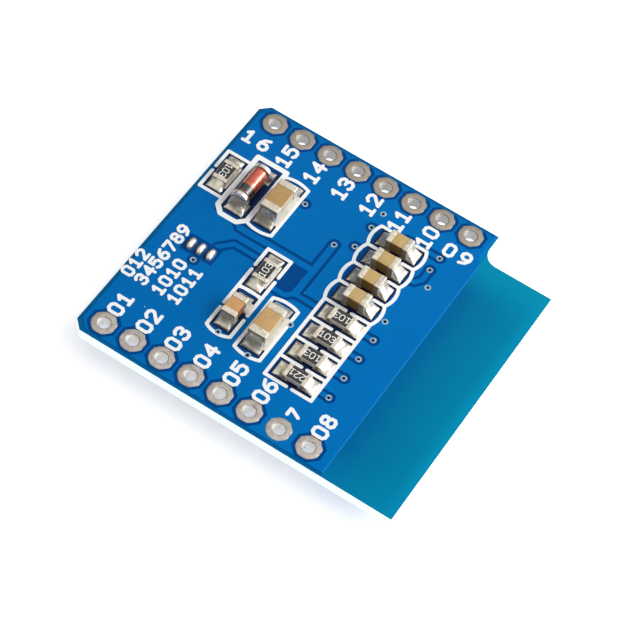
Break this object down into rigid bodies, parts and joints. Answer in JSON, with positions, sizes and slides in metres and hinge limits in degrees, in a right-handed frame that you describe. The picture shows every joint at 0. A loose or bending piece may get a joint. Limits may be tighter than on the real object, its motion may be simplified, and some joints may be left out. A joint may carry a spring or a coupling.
{
  "type": "small display module",
  "caption": "Small square OLED display module: a blue circuit board with rows of plated pin holes and chip parts, lying on its glass display.",
  "frame": {"origin": "centre of the module's outline in plan, at the front face of the display, on which it lies", "axes": "+X along the pin rows towards the bare tab, +Y across the rows towards the rear row, +Z from the display to the component side"},
  "size_m": [0.0274, 0.0256, 0.0043],
  "materials": {
    "laminate_blue": "glossy blue mask over glass laminate",
    "masked_copper": "glossy blue mask over copper",
    "tinned_copper": "dull tinned copper",
    "via_copper": "tinned ring under thin mask",
    "solder": "bright wrinkled solder",
    "white_ink": "matt white printing ink",
    "polariser": "dark glossy film",
    "display_glass": "clear polished glass",
    "cover_glass": "clear polished glass",
    "pixel_film": "thin metal film",
    "silicon": "polished silicon",
    "flex_film": "amber polyimide",
    "black_foam": "black foam tape",
    "diode_glass": "clear glass over red-brown studs",
    "diode_metal": "tinned metal",
    "band_paint": "black paint",
    "white_ceramic": "fired alumina",
    "resistor_coat": "dark glaze",
    "chip_ends": "satin tin plate",
    "ladder_ceramic": "fired ceramic, sand yellow",
    "brown_ceramic": "fired ceramic, brown",
    "tan_ceramic": "fired ceramic, tan",
    "orange_ceramic": "fired ceramic, orange tan"
  },
  "bodies": {
    "root": {"circuit_board": "laminate_blue", "top_copper": "masked_copper", "bottom_copper": "masked_copper", "rear_pin_lands": "tinned_copper", "front_pin_lands": "tinned_copper", "via_barrels": "via_copper", "component_lands": "tinned_copper", "bridge_pads": "solder", "printed_outlines": "white_ink", "display_polariser": "polariser", "display_front_glass": "display_glass", "display_pixel_layer": "pixel_film", "display_cover_glass": "cover_glass", "display_driver_chip": "silicon", "display_flex_tail": "flex_film", "flex_solder_lands": "solder", "foam_tape": "black_foam", "diode_glass_sleeve": "diode_glass", "diode_end_caps": "diode_metal", "diode_die": "silicon", "diode_cathode_band": "band_paint", "diode_solder": "solder", "resistor_solder": "solder", "capacitor_solder": "solder", "resistor_1_ceramic": "white_ceramic", "resistor_1_coat": "resistor_coat", "resistor_1_ends": "chip_ends", "resistor_2_ceramic": "white_ceramic", "resistor_2_coat": "resistor_coat", "resistor_2_ends": "chip_ends", "resistor_3_ceramic": "white_ceramic", "resistor_3_coat": "resistor_coat", "resistor_3_ends": "chip_ends", "resistor_4_ceramic": "white_ceramic", "resistor_4_coat": "resistor_coat", "resistor_4_ends": "chip_ends", "resistor_5_ceramic": "white_ceramic", "resistor_5_coat": "resistor_coat", "resistor_5_ends": "chip_ends", "resistor_6_ceramic": "white_ceramic", "resistor_6_coat": "resistor_coat", "resistor_6_ends": "chip_ends", "capacitor_1_body": "ladder_ceramic", "capacitor_1_ends": "chip_ends", "capacitor_2_body": "ladder_ceramic", "capacitor_2_ends": "chip_ends", "capacitor_3_body": "ladder_ceramic", "capacitor_3_ends": "chip_ends", "capacitor_4_body": "ladder_ceramic", "capacitor_4_ends": "chip_ends", "capacitor_5_body": "brown_ceramic", "capacitor_5_ends": "chip_ends", "capacitor_6_body": "tan_ceramic", "capacitor_6_ends": "chip_ends", "capacitor_7_body": "orange_ceramic", "capacitor_7_ends": "chip_ends"}
  },
  "joints": []
}
